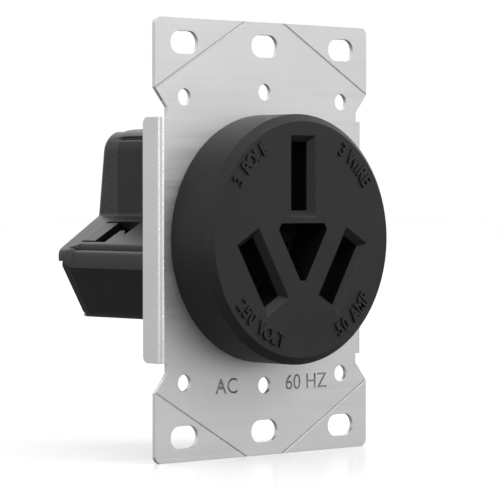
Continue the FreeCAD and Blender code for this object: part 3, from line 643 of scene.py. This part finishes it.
def hexagon_bar(axis, y0, y1):
    """A cutter for a screw's hexagon socket."""
    bar = bmesh.new()
    corner_r = HEX_ACROSS / math.sqrt(3)
    bmesh.ops.create_cone(bar, cap_ends=True, segments=6, radius1=corner_r, radius2=corner_r, depth=y1 - y0)
    turn = Matrix.Rotation(math.radians(90), 4, "X")
    lift = Matrix.Translation((axis.x, (y0 + y1) / 2, axis.z))
    bmesh.ops.transform(bar, matrix=lift @ turn, verts=bar.verts)
    return mesh_of(bar, "hexagon_bar")


lug_finish = plain("tinned_aluminium", TIN, roughness=0.38, metallic=1.0, grain=500)
clamp_finish = plain("clamp_screw_steel", CLAMP_STEEL, roughness=0.36, metallic=1.0)
for pole in POLES:
    lug = placed("lug_" + pole, clean_copy("terminal_lug_" + pole), [lug_finish],
                 ["terminal_lug_" + pole])
    broken_edges(lug, LUG_EDGE)
    low_corner, high_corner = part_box("clamp_screw_" + pole)
    screw = placed("clamping_screw_" + pole, threaded_rod(SCREW_AXES[pole], low_corner.y, high_corner.y),
                   [clamp_finish], ["clamp_screw_" + pole])
    socket = hexagon_bar(SCREW_AXES[pole], high_corner.y - HEX_DEPTH, high_corner.y + HEX_PROUD)
    cut_out(screw, socket, clamp_finish)
    smooth(screw)


# Floor, light and camera
# The socket stands on its strap on a plain pale floor, under one soft light from above the right and
# weaker ones above and behind. Two narrow strips put the bright lines on the strap's left fold.

FLOOR_WHITE = (0.95, 0.95, 0.95, 1)
FLOOR_HALF = 4.0
FLOOR_GLOW = 0.08
FLOOR_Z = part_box("mounting_strap")[0].z
# Each light's place, the point it faces, its width and height, and its power.
LIGHTS = {"key": ((0.6, -0.8, 0.9), (0, 0, 0), (0.5, 0.5), 5),
          "overhead": ((-0.1, 0.2, 1.0), (0, 0.02, 0), (0.9, 0.9), 0.7),
          "behind": ((0.3, 0.9, 0.65), (0, 0, 0), (0.8, 0.5), 1.4),
          "left strip": ((-0.8, -0.4, 0.12), (0, 0, 0), (0.1, 0.34), 0.3),
          "front strip": ((0.03, -0.9, 0.12), (0, 0, 0), (0.1, 0.34), 0.4)}
WHITE = (1, 1, 1, 1)
SKY_LIGHT = 0.97
GROUND_LIGHT = 0.2
DUSK_HEIGHTS = (-0.3, 0.12)
CAMERA_PLACE = Vector((-391.13, -421.97, 9.27)) * MM
CAMERA_AIM = Vector((0.67562, 0.73697, -0.0203))
SENSOR_WIDTH = 36.0
FOCAL_LENGTH = 191.22
CLIP_NEAR = 0.01
CLIP_FAR = 50

floor_mesh = bpy.data.meshes.new("floor")
floor_corners = [(x * FLOOR_HALF, y * FLOOR_HALF, FLOOR_Z) for x, y in ((-1, -1), (1, -1), (1, 1), (-1, 1))]
floor_mesh.from_pydata(floor_corners, [], [(0, 1, 2, 3)])
floor = bpy.data.objects.new("floor", floor_mesh)
scene.collection.objects.link(floor)
floor_finish, floor_shader = finish_of("floor", roughness=0.2, specular=0.1, colour=FLOOR_WHITE)
floor_shader.inputs["Emission Color"].default_value = WHITE
floor_shader.inputs["Emission Strength"].default_value = FLOOR_GLOW
floor.data.materials.append(floor_finish)
floor.visible_diffuse = False
floor.visible_glossy = False

for light_name, (light_place, light_aim, light_size, light_power) in LIGHTS.items():
    lamp = bpy.data.lights.new(light_name, "AREA")
    lamp.shape = "RECTANGLE"
    lamp.size, lamp.size_y = light_size
    lamp.energy = light_power
    holder = bpy.data.objects.new(light_name, lamp)
    holder.location = light_place
    holder.rotation_euler = (Vector(light_aim) - Vector(light_place)).to_track_quat("-Z", "Y").to_euler()
    scene.collection.objects.link(holder)

world = bpy.data.worlds.new("studio")
scene.world = world
world.use_nodes = True
sky = world.node_tree
direction = wired(sky, "TexCoord")
height = wired(sky, "SeparateXYZ", [("Vector", direction.outputs["Generated"])])
sky_light = sky.nodes["Background"]
sky_light.inputs["Color"].default_value = WHITE
sky.links.new(ranged(sky, height.outputs["Z"], GROUND_LIGHT, SKY_LIGHT, *DUSK_HEIGHTS),
              sky_light.inputs["Strength"])
backdrop = wired(sky, "Background", [("Color", WHITE), ("Strength", 1.0)])
path = wired(sky, "LightPath")
seen_or_lit = wired(sky, "MixShader", [(0, path.outputs["Is Camera Ray"]), (1, sky_light.outputs[0]),
                                       (2, backdrop.outputs[0])])
sky.links.new(seen_or_lit.outputs[0], sky.nodes["World Output"].inputs["Surface"])
scene.view_settings.view_transform = "Standard"

camera_data = bpy.data.cameras.new("camera")
camera_data.sensor_width = SENSOR_WIDTH
camera_data.lens = FOCAL_LENGTH
camera_data.clip_start = CLIP_NEAR
camera_data.clip_end = CLIP_FAR
camera = bpy.data.objects.new("camera", camera_data)
forward = CAMERA_AIM.normalized()
right = forward.cross(Vector((0, 0, 1))).normalized()
up = right.cross(forward)
camera.matrix_world = Matrix.Translation(CAMERA_PLACE) @ Matrix((right, up, -forward)).transposed().to_4x4()
scene.collection.objects.link(camera)
scene.camera = camera
